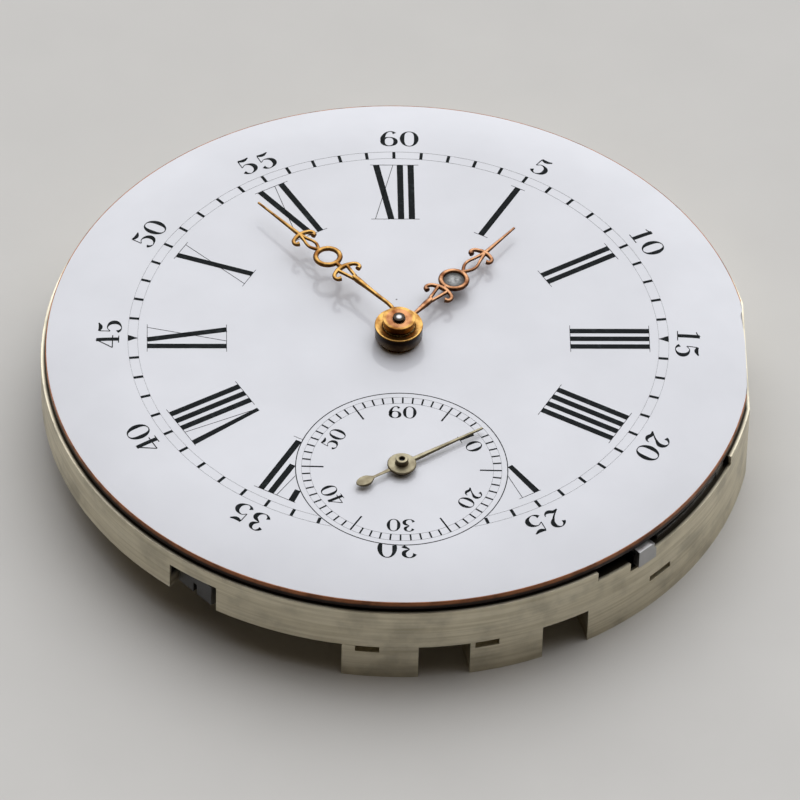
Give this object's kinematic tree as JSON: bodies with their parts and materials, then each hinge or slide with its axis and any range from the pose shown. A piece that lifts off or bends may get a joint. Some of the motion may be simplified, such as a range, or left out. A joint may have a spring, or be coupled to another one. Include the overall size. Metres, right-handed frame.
{
  "type": "pocket watch movement",
  "caption": "Round lever movement of a pocket watch: enamel dial with Roman hours and subsidiary seconds, three hands, main plate, bridges, gear train, keyless winding work and balance.",
  "frame": {"origin": "on the centre axis that the hour and minute hands turn on, at the height of the bridge faces that the movement rests on", "axes": "+X to 3 o'clock, +Y to 12 o'clock, +Z out of the dial"},
  "size_m": [0.0424, 0.0428, 0.0086],
  "materials": {
    "nickel": "frosted nickel silver, matt and warm grey",
    "blued_steel": "heat-blued polished steel",
    "ruby": "polished synthetic ruby",
    "steel": "fine-grained polished steel",
    "brass": "gilt brass with circular grain",
    "gilt": "rose-gilt, polished",
    "pale_gilt": "pale nickel gilt, polished",
    "copper": "oxidised copper",
    "enamel": "fired white enamel, glossy"
  },
  "bodies": {
    "frame": {"main_plate": "nickel", "barrel_bridge": "nickel", "third_wheel_cock": "nickel", "fourth_wheel_cock": "nickel", "pallet_bridge": "nickel", "balance_cock": "nickel", "bridge_screws": "blued_steel", "plate_jewels": "ruby", "bridge_jewels": "ruby", "balance_endstones": "ruby", "hairspring_stud": "steel", "dial_base": "copper", "dial_enamel": "enamel", "dial_foot_screws": "blued_steel", "case_screws": "steel", "click_spring": "steel", "yoke_spring": "steel", "setting_spring": "steel", "crown_wheel_core": "steel", "crown_screw": "blued_steel"},
    "centre_arbor_body": {"centre_wheel": "brass", "centre_arbor": "steel", "cannon_pinion": "steel", "minute_hand": "gilt"},
    "hour_body": {"hour_wheel": "brass", "hour_hand": "gilt"},
    "minute_wheel_body": {"minute_wheel": "brass"},
    "setting_wheel_body": {"setting_wheel": "steel"},
    "third_body": {"third_wheel": "brass", "third_pinion": "steel"},
    "fourth_body": {"fourth_wheel": "brass", "fourth_pinion": "steel", "seconds_hand": "pale_gilt"},
    "escape_body": {"escape_wheel": "steel", "escape_pinion": "steel"},
    "barrel_body": {"barrel_drum": "brass", "barrel_cover": "brass", "mainspring": "blued_steel"},
    "winding_body": {"barrel_arbor": "steel", "ratchet_wheel": "steel", "ratchet_screw": "blued_steel"},
    "crown_wheel_body": {"crown_wheel": "steel"},
    "winding_pinion_body": {"winding_pinion": "steel"},
    "sliding_pinion_body": {"sliding_pinion": "steel"},
    "setting_lever_body": {"setting_lever": "steel"},
    "yoke_body": {"yoke": "steel"},
    "click_body": {"click": "steel"},
    "pallet_body": {"pallet_lever": "steel", "pallet_stones": "ruby", "pallet_arbor": "steel"},
    "balance_body": {"balance_wheel": "gilt", "balance_screws": "gilt", "balance_staff": "steel", "roller_table": "steel", "impulse_jewel": "ruby", "hairspring": "blued_steel", "hairspring_collet": "brass"},
    "regulator_body": {"regulator": "steel"}
  },
  "joints": [
    {"name": "minute_hand_turn", "type": "hinge", "parent": "frame", "child": "centre_arbor_body", "pos_m": [0, 0, 0], "axis": [0, 0, -1], "continuous": true},
    {"name": "hour_hand_turn", "type": "hinge", "parent": "frame", "child": "hour_body", "pos_m": [0, 0, 0], "axis": [0, 0, -1], "continuous": true},
    {"name": "minute_wheel_turn", "type": "hinge", "parent": "frame", "child": "minute_wheel_body", "pos_m": [0.00342, -0.00114, 0], "axis": [0, 0, -1], "continuous": true},
    {"name": "setting_wheel_turn", "type": "hinge", "parent": "frame", "child": "setting_wheel_body", "pos_m": [0.009, 0, 0], "axis": [0, 0, -1], "continuous": true},
    {"name": "third_wheel_turn", "type": "hinge", "parent": "frame", "child": "third_body", "pos_m": [0.00365, -0.0062, 0], "axis": [0, 0, -1], "continuous": true},
    {"name": "seconds_hand_turn", "type": "hinge", "parent": "frame", "child": "fourth_body", "pos_m": [0, -0.0109, 0], "axis": [0, 0, -1], "continuous": true},
    {"name": "escape_wheel_turn", "type": "hinge", "parent": "frame", "child": "escape_body", "pos_m": [-0.00488, -0.01268, 0], "axis": [0, 0, -1], "continuous": true},
    {"name": "barrel_turn", "type": "hinge", "parent": "frame", "child": "barrel_body", "pos_m": [0.00465, 0.00874, 0], "axis": [0, 0, -1], "continuous": true},
    {"name": "winding_turn", "type": "hinge", "parent": "frame", "child": "winding_body", "pos_m": [0.00465, 0.00874, 0], "axis": [0, 0, 1], "continuous": true},
    {"name": "crown_wheel_turn", "type": "hinge", "parent": "frame", "child": "crown_wheel_body", "pos_m": [0.012, 0, 0], "axis": [0, 0, 1], "continuous": true},
    {"name": "winding_pinion_turn", "type": "hinge", "parent": "frame", "child": "winding_pinion_body", "pos_m": [0, 0, 0.0025], "axis": [1, 0, 0], "continuous": true},
    {"name": "setting_lever_press", "type": "hinge", "parent": "frame", "child": "setting_lever_body", "pos_m": [0.0175, -0.0055, 0], "axis": [0, 0, -1], "range_deg": [0, 5]},
    {"name": "yoke_swing", "type": "hinge", "parent": "frame", "child": "yoke_body", "pos_m": [0.0126, -0.0115, 0], "axis": [0, 0, 1], "range_deg": [0, 5]},
    {"name": "sliding_pinion_slide", "type": "slide", "parent": "frame", "child": "sliding_pinion_body", "axis": [-1, 0, 0], "range_m": [0, 0.001], "stiffness_N_per_m": 50},
    {"name": "click_lift", "type": "hinge", "parent": "frame", "child": "click_body", "pos_m": [-0.00254, 0.01289, 0], "axis": [0, 0, -1], "range_deg": [0, 10], "stiffness_Nm_per_rad": 0.00001},
    {"name": "pallet_swing", "type": "hinge", "parent": "frame", "child": "pallet_body", "pos_m": [-0.00755, -0.00927, 0], "axis": [0, 0, 1], "range_deg": [-5, 5]},
    {"name": "balance_swing", "type": "hinge", "parent": "frame", "child": "balance_body", "pos_m": [-0.0112, -0.0046, 0], "axis": [0, 0, 1], "range_deg": [-270, 270], "stiffness_Nm_per_rad": 0.0000032, "deforming": ["hairspring"]},
    {"name": "regulator_turn", "type": "hinge", "parent": "frame", "child": "regulator_body", "pos_m": [-0.0112, -0.0046, 0], "axis": [0, 0, 1], "range_deg": [-20, 20]}
  ],
  "couplings": [
    {"joint": "hour_hand_turn", "follows": "minute_hand_turn", "ratio": 0.083333},
    {"joint": "minute_wheel_turn", "follows": "minute_hand_turn", "ratio": -0.33333},
    {"joint": "setting_wheel_turn", "follows": "minute_hand_turn", "ratio": 0.3},
    {"joint": "third_wheel_turn", "follows": "minute_hand_turn", "ratio": -8},
    {"joint": "seconds_hand_turn", "follows": "minute_hand_turn", "ratio": 60},
    {"joint": "escape_wheel_turn", "follows": "minute_hand_turn", "ratio": -600},
    {"joint": "barrel_turn", "follows": "minute_hand_turn", "ratio": -0.125},
    {"joint": "crown_wheel_turn", "follows": "winding_turn", "ratio": -1.2857},
    {"joint": "winding_pinion_turn", "follows": "winding_turn", "ratio": -3.375},
    {"joint": "setting_lever_press", "follows": "sliding_pinion_slide", "rad_per_m": 87.266},
    {"joint": "yoke_swing", "follows": "sliding_pinion_slide", "rad_per_m": 87.266}
  ]
}
